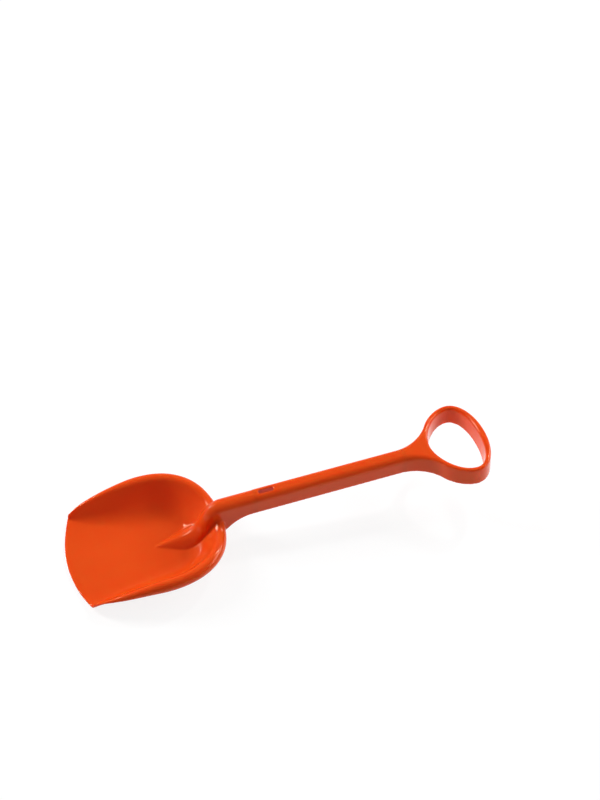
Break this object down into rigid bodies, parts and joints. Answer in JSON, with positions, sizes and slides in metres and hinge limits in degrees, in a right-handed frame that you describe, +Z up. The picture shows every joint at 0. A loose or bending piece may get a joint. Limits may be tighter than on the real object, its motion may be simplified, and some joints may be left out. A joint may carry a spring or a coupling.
{
  "type": "sand shovel",
  "caption": "Child's sand shovel with a curved scoop, rolled rim, pointed neck ridge, straight channel shaft with a hanging slot and a closed D grip.",
  "frame": {"origin": "centre of the bounding box in X and Y, on the underside of the flat blade floor", "axes": "+X from the digging edge to the grip, +Z up out of the scoop, +Y across the shovel so that the frame is right-handed"},
  "size_m": [0.4016, 0.1336, 0.066],
  "materials": {
    "shell": "glossy injection-moulded polypropylene, coloured orange-red in the mass"
  },
  "bodies": {
    "root": {"blade_floor": "shell", "scoop_wall": "shell", "rolled_rim": "shell", "neck_ridge": "shell", "shaft": "shell", "shaft_rib_1": "shell", "shaft_rib_2": "shell", "shaft_rib_3": "shell", "shaft_rib_4": "shell", "grip_fork": "shell", "grip_loop": "shell"}
  },
  "joints": []
}
